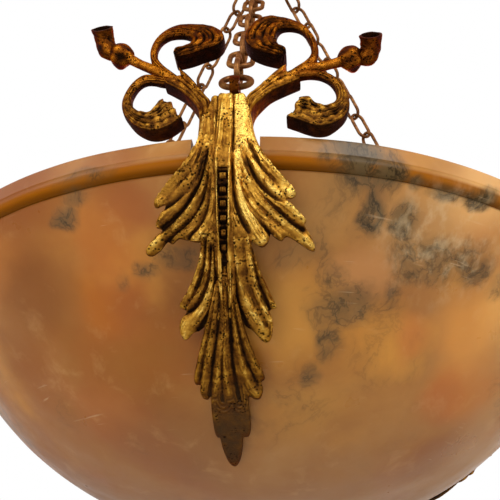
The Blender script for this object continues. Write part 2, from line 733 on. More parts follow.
def plain(name, rgb, rough):
    t = Tree(name)
    return t.set(Base_Color=srgb(*rgb), Roughness=rough)


GILT = cast_bronze()
CHAIN = chain_bronze()
STONE = alabaster()
SAWN = sawn_alabaster()
CANOPY = turned_metal("canopy_bronze", (86, 56, 24), (146, 102, 44), (188, 142, 70), 0.36)
BRASS = turned_metal("turned_brass", (140, 104, 52), (186, 148, 84), (214, 180, 116), 0.30)
STEEL = turned_metal("steel", (120, 122, 124), (168, 170, 172), (202, 204, 206), 0.34)
CAP_METAL = turned_metal("bulb_cap_metal", (150, 148, 142), (188, 186, 180), (214, 212, 206), 0.26)
LEATHER = leather()
PORCELAIN = porcelain()
GLASS = lamp_glass()
FILAMENT = filament()


# The bowl
def bowl_profile():
    """Half section, from the inner edge over the rim, down outside, and back up inside."""
    inner_r, e = BODY_R - WALL, EDGE_R
    arc = [i * math.pi / 16 for i in range(9)]
    points = [(inner_r, -e - 0.6)]
    points += [(inner_r + e - e * math.cos(a), -e + e * math.sin(a)) for a in arc]
    points += [(r, 0) for r in np.linspace(inner_r + EDGE_STEP, RIM_R - EDGE_STEP, 8)]
    points += [(RIM_R - e + e * math.sin(a), -e + e * math.cos(a)) for a in arc]
    points += [(RIM_R, z) for z in np.linspace(-2.2, -FACE_H + 0.9, 5)]
    points += [(RIM_R - 0.35 * (1 - math.cos(2 * a)), -FACE_H + 0.5 * math.cos(2 * a)) for a in arc[:5]]
    points += [(RIM_R - 0.6 - (BEAD_IN - 0.6) * (1 - math.cos(a)),
                -FACE_H - 0.6 - (BEAD_H - 0.9) * math.sin(a)) for a in np.linspace(0.1, math.pi / 2, 12)]
    points += [(stone_radius(z) + 0.25 * math.exp(z + FLARE_TOP), z)
               for z in np.linspace(-FLARE_TOP, -FLARE_LOW, 26)]

    def swell(r, depth):
        return [(r * math.cos(a) ** (2 / ROUND),
                 -CURVE_TOP - (depth - CURVE_TOP) * math.sin(a) ** (2 / CURVE))
                for a in np.linspace(0.02, math.pi / 2, 60)[:-1]] + [(0.0, -depth)]
    points += [q for q in swell(BODY_R, BOWL_DEPTH) if q[1] < -FLARE_LOW - 1]
    points += swell(inner_r, BOWL_DEPTH - FLOOR_T)[::-1]
    points += [(inner_r, z) for z in np.linspace(-CURVE_TOP, -EDGE_STEP, 6)]
    return [(float(r), float(z)) for r, z in points]


def solid_of_revolution(profile, sides):
    """Closed by its own profile; points on the axis are shared."""
    verts, faces, index = [], [], []
    for r, z in profile:
        if r < 1e-6:
            index.append([len(verts)] * sides)
            verts.append((0, 0, z))
        else:
            index.append(list(range(len(verts), len(verts) + sides)))
            verts += [(r * math.cos(2 * math.pi * k / sides), r * math.sin(2 * math.pi * k / sides), z)
                      for k in range(sides)]
    for a, b in zip(index, index[1:] + index[:1]):
        for k, m in loop_edges(sides):
            quad = tuple(dict.fromkeys((a[k], a[m], b[m], b[k])))
            if len(quad) > 2:
                faces.append(quad)
    return Shape(verts, faces)


def notch_cutters():
    """The rounded notch, the screw hole and its spot face, at the front mount."""
    half, r = NOTCH_W / 2, NOTCH_CORNER
    low = r - NOTCH_DEPTH
    loop = [(-half, NOTCH_CLEAR), (-half, low)]
    loop += [(-half + r - r * math.cos(a), low - r * math.sin(a))
             for a in np.linspace(0.2, math.pi / 2, 5)]
    loop += [(half - r + r * math.sin(a), low - r * math.cos(a))
             for a in np.linspace(0, math.pi / 2 - 0.2, 5)]
    loop += [(half, low), (half, NOTCH_CLEAR)]
    n = len(loop)
    verts = [(x, y, z) for y in (-RIM_R - CUT_CLEAR, -(BODY_R - WALL - NOTCH_CLEAR)) for x, z in loop]
    faces = [tuple(range(n)), tuple(range(2 * n - 1, n - 1, -1))]
    faces += [(a, a + n, b + n, b) for a, b in loop_edges(n)]
    made = [Shape(verts, faces)]
    for radius, start, end in ((SPOT_FACE_R, SPOT_FACE_FROM, BODY_R - WALL),
                               (SCREW_HOLE_R, BODY_R - WALL - 2, RIM_R + 2)):
        path = [(0, -start, -SCREW_H), (0, -end, -SCREW_H)]
        made.append(tube(path, radius, sides=40, side_way=(0, 0, 1)))
    return join(made)


def build_bowl():
    shape = solid_of_revolution(bowl_profile(), BOWL_SIDES)
    v = shape.verts
    outward = v / np.maximum(np.linalg.norm(v, axis=1, keepdims=True), 1e-6)
    shape.verts = v + outward * sum(much * wobble(v, size, seed) for much, size, seed in DENTS)[:, None]
    obj = piece("alabaster_bowl_stone", shape, STONE, "alabaster_bowl", 0, BOWL_CRISP)
    obj.data.materials.append(SAWN)
    one = notch_cutters()
    cutter = join([Shape(at_mount(one.verts, i), one.faces) for i in range(len(SIDES))])
    tool = new_object("cutter", cutter.verts, cutter.faces, SAWN)
    cut = obj.modifiers.new("notch", "BOOLEAN")
    cut.operation = "DIFFERENCE"
    cut.solver = "EXACT"
    cut.object = tool
    cut.use_self = True
    cut.material_mode = "TRANSFER"
    bpy.context.view_layer.update()
    result = bpy.data.meshes.new_from_object(obj.evaluated_get(bpy.context.evaluated_depsgraph_get()))
    obj.modifiers.clear()
    obj.data = result
    bpy.data.objects.remove(tool)
    obj.data.shade_smooth()
    obj.data.set_sharp_from_angle(angle=math.radians(CUT_CRISP))


build_bowl()

# Leaf, seen from the front. Each tier has its outline, clockwise from the top left, the lip
# that curls forward, and the lines of its relief: points, height (below 0 for a groove),
# half width at the root and at the end.
TOP_TIER = [
    (-4.6, 13.3), (-5.2, 9.6), (-6.9, 5), (-8.5, 0.9), (-9.1, -7.3), (-11, -12.4), (-15, -17.6),
    (-19.9, -21.8), (-24, -26.2), (-25, -28), (-23.6, -28.6), (-20.7, -28), (-22.4, -30.2),
    (-24.4, -32.6), (-24.6, -34.2), (-22.7, -35), (-25.8, -37.3), (-28.2, -39), (-29.3, -41),
    (-27.1, -41.8), (-23.5, -40.4), (-21, -38.1), (-19.2, -39.1), (-16.5, -37.8), (-12.8, -38.6),
    (-9.4, -39), (-6.4, -37.6), (-3.6, -38.6), (0, -39.6), (3.6, -38.6), (7.2, -38.2), (10.4, -39.9),
    (13.2, -40.9), (15.4, -39.3), (16.1, -37), (17.6, -38.2), (20, -39.1), (21.9, -37.7), (25.6, -39.3),
    (29.8, -41.3), (31.8, -41.1), (30.3, -37.6), (28.2, -34.6), (28.8, -33.2), (25.4, -30.1),
    (21.9, -27.5), (24.2, -27.3), (25.7, -25.6), (22, -21.7), (17.9, -17.9), (14.2, -12.7), (11.7, -6.1),
    (10.5, 0.8), (9.6, 5), (8.4, 9.6), (7.7, 13.2), (3.6, 13.7), (-2.2, 13.6)]
TOP_LIP = [
    (-25.2, -27.4), (-21.6, -28.6), (-24.8, -33.8), (-23.4, -35.4), (-29.4, -41), (-23.5, -40.4),
    (-19.2, -39.1), (-16.5, -37.8), (-12.8, -38.6), (-6.4, -37.6), (0, -40), (7.2, -38.2), (13.2, -40.9),
    (15.8, -38.5), (20, -39.1), (25.6, -39.3), (31.8, -41.1), (28.4, -34), (22.6, -28.4), (25.7, -26)]
TOP_LINES = [
    ([(9, 12), (10.3, -5), (13.6, -12.9), (18.4, -18.4), (22.1, -22.2), (24.9, -25.2)], 1.1, 0.7, 0.8),
    ([(8.2, -8), (11.3, -16.2), (15, -20.6), (18.6, -23.6), (23.6, -26.4)], 0.9, 0.6, 0.8),
    ([(6.6, -8), (9.6, -15.8), (13.7, -21.4), (17.7, -25.6), (23.5, -30), (28, -33.4)], 1, 0.8, 1.1),
    ([(6.2, -12), (8.4, -20), (13, -26.7), (17.8, -31), (24, -35.8), (31, -40.4)], 1.5, 0.7, 1),
    ([(5.6, -14), (7.6, -24), (11.8, -30), (17, -34), (22, -37.2), (25.4, -38.8)], 1, 0.7, 1),
    ([(5, -16), (6.8, -26), (10.6, -31.6), (15.6, -35.4), (19.8, -38.6)], 0.9, 0.6, 0.8),
    ([(4.6, -14), (5.6, -24.5), (8, -31.6), (10.8, -36), (13.6, -39.8)], 1.5, 1.4, 2.4),
    ([(6.8, 13), (7.2, 2), (7, -8), (6.4, -16)], 0.9, 2.2, 1.4),
    ([(-7, 11), (-7.6, -1.6), (-8.6, -8), (-11.2, -13.4), (-15.2, -18.4), (-19.4, -22.2),
      (-24.2, -26.8)], 1.1, 0.7, 0.9),
    ([(-6, -6), (-7.5, -14.6), (-12.1, -20.6), (-16.7, -24.2), (-22.4, -28)], 1, 0.7, 0.9),
    ([(-5.4, -10), (-6.9, -18.2), (-10.4, -23), (-14.6, -26.6), (-19.3, -30),
      (-24, -33.6)], 0.9, 0.7, 1.1),
    ([(-3.6, -6), (-4.4, -16), (-6.4, -22), (-9.6, -27.2), (-13.6, -31.4), (-18.6, -35), (-23, -37.6),
      (-28.4, -40.8)], 1.5, 0.7, 1),
    ([(-3.8, -16), (-5, -24), (-8, -30.2), (-12.6, -34.4), (-17.9, -38)], 1, 0.6, 0.8),
    ([(-3.4, -20), (-4.6, -29), (-6.8, -34), (-10.4, -38.2)], 1, 1, 2),
    ([(-5.2, 12), (-5.4, 0), (-5.2, -12)], 0.35, 0.9, 0.7),
    ([(9.2, -9), (13, -17.4), (17.2, -22), (22.2, -26.4)], -1.3, 0.8, 0.9),
    ([(7.9, -12), (11, -20.4), (15.6, -25.4), (21.4, -28.4)], -1.6, 0.7, 1.1),
    ([(6.9, -14), (10.6, -23.6), (16, -28.8), (22.4, -33.2), (27.6, -36)], -1.5, 0.7, 1.1),
    ([(6, -16), (9.4, -26.8), (14.6, -31.8), (20.6, -36), (25, -38.4)], -1.2, 0.6, 0.9),
    ([(5.2, -18), (8.4, -28.6), (12.6, -33.4), (16.2, -37.6)], -1.6, 0.6, 0.9),
    ([(3.4, 13.4), (3.9, -5), (3.8, -19), (3.9, -26), (5.6, -32), (8.6, -37.2)], -1.5, 0.3, 0.9),
    ([(-6.6, -10), (-9.4, -17.4), (-14.2, -21.8), (-20, -26.6)], -1.2, 0.7, 0.9),
    ([(-5.7, -12), (-8.2, -20), (-12.6, -24.8), (-17.8, -28), (-21.2, -29.2)], -1.4, 0.6, 1),
    ([(-4.9, -12), (-7.4, -21.6), (-11.4, -26.8), (-16.6, -31.4), (-22.6, -35.2)], -1.5, 0.6, 1),
    ([(-4.2, -16), (-6, -25.2), (-9.8, -31.2), (-15, -35.2), (-20.8, -38.2)], -1.3, 0.6, 0.9),
    ([(-3.8, -20), (-5.2, -29), (-8.4, -34.4), (-13, -38)], -1.4, 0.6, 0.9),
    ([(-4.2, 13.6), (-3.9, 0), (-3.4, -14)], -0.8, 0.3, 0.45),
    ([(-2.3, 13.4), (-2.2, 3.7), (-1.8, -12.8), (-1.9, -19.7)], -1.1, 0.35, 0.4),
    ([(7.9, 13.2), (8.6, 4), (9.2, -5)], -0.4, 0.4, 0.5),
    ([(-6.7, 12), (-6.6, 2), (-6.8, -6)], -0.4, 0.4, 0.5)]
MID_TIER = [
    (-7.6, -35), (-9, -40), (-10.4, -43.9), (-12.4, -47.9), (-15.2, -51.8), (-18.2, -55.2),
    (-18.4, -56.3), (-16.2, -57.2), (-18.4, -59.4), (-19.4, -61.8), (-18.6, -64.6), (-17, -64.9),
    (-14.6, -63.4), (-11.8, -62.2), (-8, -61), (0, -60), (6, -61.8), (8.6, -63.6), (10.9, -65.6),
    (13.2, -66.3), (15, -64.4), (15.5, -60.6), (14.4, -57.4), (17.1, -56.9), (15.5, -53.5), (13.3, -49.8),
    (11.4, -46.1), (10.2, -42.5), (8.8, -39), (7.6, -35)]
MID_LIP = [
    (-18.6, -55.6), (-16.6, -57.4), (-19.6, -61.8), (-18.2, -65), (-14.6, -63.4), (-11.8, -62.2),
    (-6, -61), (4, -61), (8.6, -63.6), (12.6, -66.5), (15.2, -64.2), (15.4, -59), (17.2, -57)]
MID_LINES = [
    ([(-8, -37), (-9.2, -43), (-12, -48.6), (-17.6, -55.4)], 1.1, 0.7, 1),
    ([(-6.2, -38), (-7.4, -45.4), (-10.4, -51.4), (-15.8, -56.6)], 1, 0.8, 1),
    ([(-4.6, -42), (-6.4, -50.4), (-10.8, -57), (-16.4, -61.4), (-18.4, -63.6)], 1.5, 0.9, 2),
    ([(3, -38), (3.6, -46.6), (5.4, -53.8), (8.8, -58.8), (12.8, -63.6)], 1.7, 0.6, 1.1),
    ([(8.2, -38), (9.6, -48.4), (12, -55), (14.6, -60)], 1.4, 0.8, 1),
    ([(10, -43), (12.4, -49.4), (16.4, -56)], 1, 0.6, 0.8),
    ([(5.8, -40), (6.6, -48), (8.8, -54.2), (12, -60)], 0.5, 1, 1.5),
    ([(-2.8, -39), (-2.5, -47.6), (-2.2, -56)], 1.2, 0.6, 0.7),
    ([(-7.1, -38), (-8.4, -45.4), (-11.6, -51.6), (-16, -56.2)], -1.3, 0.6, 0.9),
    ([(-5.4, -40), (-6.8, -49), (-11.4, -55.4), (-16.4, -58)], -1.6, 0.6, 1),
    ([(-3.8, -40), (-4.2, -50), (-7, -57.6), (-12.4, -62.4)], -1.7, 0.7, 1.3),
    ([(6, -40), (6.9, -49.2), (9.4, -55.4), (13, -61.6)], -1, 0.9, 1.2),
    ([(9.2, -41), (11, -49.8), (13.6, -55.6), (15, -58)], -1.4, 0.6, 0.9),
    ([(1.8, -42), (2.4, -50), (3.6, -57), (6.6, -62.4)], -1.6, 0.7, 1.2)]
LOW_TIER = [
    (-3.6, -49), (-5.4, -53), (-7.2, -57), (-9.9, -62.4), (-12.6, -68.1), (-15.1, -73.4), (-15.9, -76.7),
    (-13.7, -77.2), (-14.1, -79), (-13.5, -80.8), (-11.7, -81.2), (-10.2, -80.6), (-10.5, -85.6),
    (-10.2, -91.2), (-8.6, -92), (-8.2, -94.2), (-7.6, -96.4), (-6.3, -99), (-4.3, -100), (-2.5, -99.2),
    (-0.9, -97.2), (0.2, -94.6), (0.9, -91.9), (3.2, -91.6), (4.5, -88.4), (4.5, -81), (6.8, -81.4),
    (9, -81.2), (10.4, -78.6), (9.7, -76.7), (11.3, -75.4), (8.6, -70.4), (5.8, -64.2), (3.8, -58),
    (2.2, -52.6), (1.6, -49)]
LOW_LIP = [
    (-15.8, -75.6), (-14, -77.6), (-13.8, -80.8), (-10.6, -81.2), (-10.5, -85.6), (-10.2, -91.6),
    (-8.2, -94.2), (-6.3, -99.2), (-4.3, -100.2), (-1.2, -98), (0.6, -92.2), (3.4, -91.8), (4.6, -81.4),
    (8.6, -81.6), (10.6, -78.6), (11, -75.4)]
LOW_LINES = [
    ([(-4.6, -51), (-8, -60.4), (-12, -69.4), (-15, -75.6)], 0.9, 0.6, 0.8),
    ([(-3.8, -52), (-6.8, -61.5), (-10.4, -70.4), (-12.8, -78.8)], 0.9, 0.6, 1),
    ([(-2.6, -50), (-2.6, -61.6), (-5.4, -72), (-8.6, -80)], 0.9, 0.5, 0.7),
    ([(-1.3, -50), (-1.8, -61.7), (-3.6, -71.7), (-2.8, -80.4)], 1.1, 0.45, 0.5),
    ([(0.8, -50), (1.5, -60.1), (2.8, -69.8), (5, -77.4), (7.8, -80.6)], 1.3, 0.5, 0.8),
    ([(2, -54), (3.4, -62), (5.9, -69), (9.6, -75)], 0.9, 0.5, 0.7),
    ([(-4.2, -52), (-7.6, -62), (-11.4, -71), (-14, -77)], -0.9, 0.4, 0.7),
    ([(-3.2, -52), (-4.8, -62), (-8, -72), (-10.4, -80.4)], -1.1, 0.5, 0.8),
    ([(-2, -52), (-2.3, -62), (-4.6, -72), (-5.6, -82)], -1, 0.4, 0.6),
    ([(-0.2, -52), (0, -62), (-0.4, -72), (1, -82)], -1.1, 0.5, 1),
    ([(1.6, -53), (2.5, -62), (4.4, -70), (8.4, -78)], -1, 0.4, 0.7)]
STEM = [
    (-2.1, 13.2), (-2.1, 4), (-2.4, -8), (-3, -14), (-3.2, -20), (-3.6, -30), (-4, -38), (-4, -46),
    (-3.4, -52), (-2.4, -56), (0, -57), (2, -55), (3, -50), (3.2, -44), (3.3, -38), (3.3, -30),
    (3.4, -20), (3.4, -12), (3.3, 0), (3.2, 13.3), (0.4, 13.5)]
LADDER_TOP = -18.6
LADDER_PITCH = 4.0
LADDER_CELLS = 6


def off_middle(p):
    """Distance from the middle of the leaf, which leans over a little towards its foot."""
    return p[:, 0] - (0.6 + (p[:, 1] + 14) * 0.045)


def ladder_height(p):
    """Two rails with a row of sunk cells between them, each with a bar and a small block."""
    down = LADDER_TOP - p[:, 1]
    cell = np.mod(down, LADDER_PITCH)
    on = (down > 0) & (down < LADDER_CELLS * LADDER_PITCH)
    x = np.abs(off_middle(p)) / (1 - 0.05 * np.clip(down / LADDER_PITCH, 0, LADDER_CELLS))
    sunk = on * smooth(2.0, 1.7, x)
    bar = smooth(0.0, 0.2, cell) * smooth(1.1, 0.8, cell)
    block = smooth(1.5, 1.8, cell) * smooth(3.7, 3.1, cell) * smooth(1.5, 1.1, x)
    rails = hill(x - 2.3, 0.45)
    return smooth(-11, -13, p[:, 1]) * (0.9 * rails - sunk * 1.5 + sunk * (1.1 * bar + 1.5 * block))


def tier_front(lines, lip, offset, curl, curl_w):
    lip_path = spline(lip, 3)

    def height(p):
        y, off = p[:, 1], np.abs(off_middle(p))
        d, _ = nearest(p, lip_path)
        carved, strand = ridges(p, lines)
        stem_side = smooth(6, 3.5, off) * smooth(-58, -54, y)
        under_stem = smooth(3.2, 2.5, off) * smooth(-46, -44, y) * smooth(-15, -18, y)
        h = offset + carved + (1 - stem_side) * curl * hill(d, curl_w) - 2.2 * under_stem
        h = h + 0.10 * wobble(p, 7, 5) + 0.06 * wobble(p, 2.6, 6)
        return h, carved + 0.35 * hill(d, 1), strand
    return height


def tier_back(lip, thick, thin, curl, curl_w):
    lip_path = spline(lip, 3)

    def height(p):
        d, _ = nearest(p, lip_path)
        return -thick + (thick - thin) * hill(d, curl_w * 1.6) + curl * hill(d, curl_w)
    return height


def leaf_tone(base):
    """More gold on the neck and its right side, dark at the tip."""
    def tone(p):
        gold = base + 0.18 * smooth(-18, 0, p[:, 1])
        gold = gold + 0.27 * smooth(-3, 5, p[:, 0]) * smooth(-45, -25, p[:, 1])
        return np.clip(gold - 0.2 * smooth(-80, -92, p[:, 1]), 0, 1)
    return tone


def stem_front(p):
    """Two rails: plain on the neck, round the ladder below it, two strands at the foot."""
    x = off_middle(p)
    low = smooth(-41, -44, p[:, 1])
    neck = smooth(-17, -12, p[:, 1])
    carved = ladder_height(p) * (1 - low)
    carved += low * (1.2 * hill(x + 1.6, 0.7) + 1.2 * hill(x - 2.0, 0.7) - 0.9 * hill(x, 0.8))
    carved += neck * (0.3 * hill(x + 1.9, 0.8) - 0.25 * hill(x - 0.6, 1.5))
    return 1.0 - 0.8 * low - 0.4 * neck + carved + 0.08 * wobble(p, 5, 8), 1.5 * carved, np.abs(x)


def stem_back(p):
    return np.full(len(p), -STEM_T)


def leaf_shapes():
    """The tiers, each with its front (offset, curl and its width), its back (thickness at the
    root and at the lip, curl and its width) and how gold it is, then the stem over them."""
    tiers = ((MID_TIER, MID_LIP, MID_LINES, (-0.5, 0.7, 2.6), (6.0, 2.0, 1.0, 3.0), 0.53),
             (LOW_TIER, LOW_LIP, LOW_LINES, (0.5, 0.4, 2.2), (6.0, 2.6, 0.4, 2.4), 0.42),
             (TOP_TIER, TOP_LIP, TOP_LINES, (0.3, 0.8, 2.6), (6.0, 1.8, 1.2, 3.2), 0.49))
    made = [sheet(outline, tier_front(lines, lip, *front), tier_back(lip, *back), leaf_tone(gold))
            for outline, lip, lines, front, back, gold in tiers]
    return made + [sheet(STEM, stem_front, stem_back, leaf_tone(0.46), spacing=0.4, edge=0.45)]


# Scroll crest before the lean, each side drawn to the right of the centre line: 1 is the
# right side and -1 the left. A ribbon is a row of (inner edge, outer edge) places from its
# root to its end.
UPPER_SCROLL = {
    1: [((20.9, 30.1), (25.5, 27.6)), ((25.3, 34.3), (28.5, 31.7)), ((29.3, 37.9), (32.5, 35.6)),
        ((31.5, 41.5), (34.4, 39.6)), ((31.5, 46), (34.6, 45.2)), ((29.9, 51.2), (32.7, 51.8)),
        ((27, 55), (28.8, 57.9)), ((23.2, 56.6), (24.3, 60.9)), ((19.7, 56.2), (19, 62.8)),
        ((18, 54.2), (13.2, 62.8)), ((17.4, 51.2), (8.6, 59.4)), ((17.6, 48.6), (5.4, 54)),
        ((18.2, 46.3), (4.8, 48.4)), ((19.1, 44.6), (7.2, 43.9)), ((20.4, 43.9), (11.6, 41)),
        ((21.4, 42.8), (16.2, 39.3)), ((21.6, 41), (19.8, 38.4))],
    -1: [((18.6, 28.6), (20.8, 25.2)), ((23.3, 32.9), (25.9, 29.8)), ((27.5, 36.9), (30.1, 33.4)),
         ((30.4, 41), (33, 39.1)), ((31.1, 45.8), (34.1, 44.8)), ((29.7, 50.2), (32.9, 51.1)),
         ((26.5, 52.8), (29.3, 56.7)), ((22.1, 53.3), (24.1, 59.7)), ((18.6, 52.3), (16.8, 59.8)),
         ((17.2, 50), (9.8, 57.8)), ((17.3, 47.8), (5, 53.8)), ((18.2, 46.2), (3.6, 48.8)),
         ((19.2, 45.2), (5.9, 45.2)), ((20.4, 44.6), (11, 42.8)), ((21.9, 44), (15.8, 40.5)),
         ((22.9, 43.2), (19.8, 39.2)), ((23.2, 41.2), (22.4, 38.8))]}
LOWER_SCROLL = {
    1: [((23.3, 26.5), (24.5, 31.2)), ((27.2, 29), (27.6, 32.7)), ((31.2, 29.8), (31.6, 32.7)),
        ((35.2, 29.1), (36.5, 31.9)), ((38.8, 26.6), (40.5, 29.8)), ((41, 23), (44, 25)),
        ((41.6, 19.5), (46, 20)), ((41, 16.1), (46.6, 14.3)), ((38.8, 14.1), (45.2, 9.1)),
        ((36.3, 13.4), (42.2, 5.6)), ((33.9, 14), (38.5, 3.2)), ((32.4, 15.6), (34.3, 2.8)),
        ((31.5, 17), (30.1, 4.2)), ((30.4, 17.2), (26.9, 5.8)), ((28.6, 16.6), (24.6, 7.2))],
    -1: [((20.1, 26), (19.9, 29.7)), ((26.9, 26.6), (27.1, 30.3)), ((30.4, 27.4), (31.4, 31.7)),
         ((33.4, 27.3), (35.1, 31.5)), ((35.7, 25.4), (38.4, 28.4)), ((37.3, 22.3), (40.6, 23.1)),
         ((37.9, 18.9), (41.5, 17.1)), ((36.9, 15.1), (40.3, 11.9)), ((34.5, 12.2), (37.9, 8.1)),
         ((32, 10.9), (34.3, 4.2)), ((29.7, 10.4), (29.8, 1.8)), ((28.1, 11.9), (25.9, 1.3)),
         ((27.1, 14), (21.8, 2.6)), ((26.4, 15.8), (18.8, 4.9)), ((25.2, 16.6), (16.6, 7.3))]}
TRUNK = {
    1: [((3, -12), (10.6, -9)), ((5.4, -0.7), (10.8, -0.8)), ((6.6, 7.5), (10.3, 6.3)),
        ((8.1, 15.9), (11, 11.3)), ((10.9, 20.5), (13.2, 15.2)), ((14.2, 25.1), (16.4, 19.2)),
        ((17.5, 29.6), (20.8, 22.2)), ((20.4, 32.8), (26.2, 25))],
    -1: [((2, -12), (8.6, -9)), ((3.2, -3.6), (8.6, -3.6)), ((4.3, 5.1), (8.9, 3)),
         ((5.3, 12.8), (9.8, 8.4)), ((7.5, 16.6), (12.1, 13)), ((10.4, 21.1), (15.1, 17.2)),
         ((13.4, 25.5), (18.3, 20.4)), ((16.4, 29.2), (21.7, 22.8)), ((18.6, 31.6), (24.2, 24.2))]}
# Centre line of the side arm and then of the cup: x, distance to the front, height
SIDE_ARM = {
    1: [(24, 0, 30.6), (30.7, 0, 34.6), (35.2, 0, 35.5), (39.2, 0, 36.7), (43.2, 0, 38.1), (47, 0, 39.7)],
    -1: [(22, 0, 28.6), (28.4, 0, 33.4), (33.3, 0, 36.2), (37.4, 0, 38.4), (41.7, 0, 41.2),
         (45.9, 0, 43.6)]}
CUP = {
    1: [(48.4, 0, 39.9), (50.7, 0, 40), (53.6, 0.4, 40.2), (54.9, 1.4, 42.4), (55.2, 3.4, 44.2),
        (55, 6.4, 45.8)],
    -1: [(47.4, 0, 43.9), (49.6, 0, 44.3), (52.2, 0.5, 46.2), (53.6, 1.4, 49.4), (54.1, 3.2, 51.6),
         (54.4, 6, 53.2)]}
# Teeth along the cut end of a ribbon: share of the way across, and how far out
LOWER_TEETH = {
    1: [(0, 1.2), (0.12, -0.9), (0.3, 1), (0.5, 0.6), (0.66, -0.5), (0.85, 0.2), (1, 1.6)],
    -1: [(0, 0.6), (0.16, -1.2), (0.34, 2), (0.52, -0.2), (0.7, 0.6), (0.84, -0.8), (1, 0.4)]}
UPPER_TEETH = {
    1: [(0, 0.4), (0.5, 0.6), (1, 0)],
    -1: [(0, 0.4), (0.5, 0.3), (1, 0)]}
TRUNK_TEETH = {
    1: [(0, 2.2), (0.3, -1.8), (0.55, 0.4), (0.8, 0.2), (1, 2)],
    -1: [(0, 2.4), (0.32, -2.2), (0.5, -0.8), (0.78, 1), (1, 1.6)]}
# Grooves along a ribbon: share of the way across, half width, depth
SCROLL_GROOVES = ((0.2, 0.05, 0.9), (0.38, 0.05, 1.1), (0.56, 0.05, 1.0), (0.74, 0.05, 0.9),
                  (0.88, 0.04, 0.6))
TRUNK_GROOVES = ((0.3, 0.06, 0.6), (0.62, 0.06, 0.7), (0.84, 0.05, 0.5))


def crest_frame(flat, sign):
    """Right half coordinates to the mount's own: mirrored for the left, then leaned."""
    p = np.array(flat, float)
    c, s = math.cos(LEAN), math.sin(LEAN)
    x, y = p[:, 0] * sign, p[:, 1] - NECK_TOP
    return np.c_[c * x + s * y, -s * x + c * y + NECK_TOP]


def spread(values, count):
    """The values, read at this many even steps from the first to the last."""
    return np.interp(np.linspace(0, 1, count), np.linspace(0, 1, len(values)), values)


def ribbon(pairs, sign, front, back, square, grooves, tone, teeth, carved_from, rough):
    """A carved band between two edges. front, back, square and tone are values along it."""
    inner = spline([a for a, b in pairs], 6)
    outer = spline([b for a, b in pairs], 6)
    n, m = len(inner), RIBBON_POINTS
    along = np.linspace(0, 1, n)
    across = 0.5 - 0.5 * np.cos(np.linspace(0, math.pi, m))
    front, back, square, tone = (spread(values, n) for values in (front, back, square, tone))
    middle = (front - back) / 2
    half = (front + back) / 2
    way = np.gradient((inner + outer) / 2, axis=0)
    way /= np.linalg.norm(way, axis=1)[:, None]
    teeth_out = np.interp(across, *zip(*teeth))
    verts, relief, strands = [], [], []
    for k in range(n):
        fade = smooth(carved_from - 0.15, carved_from + 0.15, along[k])
        flat = inner[k] + (outer[k] - inner[k]) * across[:, None]
        flat = flat + way[k] * (teeth_out * smooth(0.86, 1.0, along[k]))[:, None]
        wide = np.linalg.norm(outer[k] - inner[k])
        dome = np.maximum(0, 1 - np.abs(2 * across - 1) ** square[k]) ** (1 / square[k])
        cut = np.zeros(m)
        for where, width, depth in grooves:
            drift = where + 0.05 * math.sin(7 * along[k] + 9 * where)
            cut += depth * hill(across - drift, width / max(wide, 3) * 6)
        bump = wobble(np.c_[flat, np.full(m, 1.0)], 4.2, 21) * rough * fade
        carve = (bump - cut * fade) * smooth(0, 0.12, across) * smooth(1, 0.88, across)
        place = crest_frame(flat, sign)
        high = middle[k] + half[k] * dome + carve
        low = middle[k] - half[k] * dome
        verts += [(x, -CREST_MID - h, z) for (x, z), h in zip(place, high)]
        verts += [(x, -CREST_MID - h, z) for (x, z), h in zip(place[-2:0:-1], low[-2:0:-1])]
        shine = 0.5 * dome + carve * 1.1 - 0.4
        relief += list(np.where((across < 0.02) | (across > 0.98), -0.7, shine)) + [-0.7] * (m - 2)
        strands += list(across * wide) + [0] * (m - 2)
    ring = 2 * m - 2
    faces = band_faces(n, ring)
    for start in (0, (n - 1) * ring):
        faces += [(start + j, start + j + 1, start + ring - j - 1, start + (ring - j) % ring)
                  for j in range(1, m - 2)]
        faces.append((start, start + 1, start + ring - 1))
        faces.append((start + m - 2, start + m - 1, start + m))
    return Shape(verts, faces, relief, np.repeat(tone, ring), strands)


def crest_path(points, sign):
    """Smooth path through (x, to the front, height), in the mount's own coordinates."""
    p = spline(points, 6)
    flat = crest_frame(p[:, [0, 2]], sign)
    return np.c_[flat[:, 0], -CREST_MID - p[:, 1], flat[:, 1]]


def arm_shape(sign):
    """The round side arm of the crest."""
    path = crest_path(SIDE_ARM[sign], sign)
    made = tube(path, spread([2.4, 2.3, 2.0, 1.9, 2.1, 2.6], len(path)), sides=20)
    return Shape(made.verts, made.faces, 0.1 + 0.25 * (-CREST_MID - made.verts[:, 1]), 0.40)


def cup_shape(sign):
    """The hollow bell at the end of the side arm, bent to the front at its mouth."""
    path = crest_path(CUP[sign], sign)
    n, sides = len(path), 24
    t = np.linspace(0, 1, n)
    outer = np.interp(t, [0, 0.12, 0.3, 0.42, 0.6, 0.85, 1], [2.4, 2.2, 3.2, 3.9, 3.8, 4.0, 4.4])
    inner = np.interp(t, [0, 0.4, 0.75, 1], [0.6, 1.8, 3.0, 3.5])
    back_in = slice(n - 1, n // 3, -1)
    ahead = np.gradient(path, axis=0)
    radii = np.concatenate([outer, inner[back_in]])
    k = np.arange(len(radii))[:, None]
    turn = 2 * math.pi * np.arange(sides) / sides
    ripple = 1 + (0.05 * np.cos(4 * turn) + 0.03 * np.sin(7 * turn + k)) * (k < n)
    verts = sweep(np.vstack([path, path[back_in]]), np.vstack([ahead, ahead[back_in]]),
                  radii[:, None] * ripple, (0, 1, 0.3))
    faces = band_faces(len(radii), sides) + cap_faces(len(radii), sides)
    return Shape(verts, faces, np.where(k < n, 8 * (ripple - 1), -1.4).ravel(), 0.3)


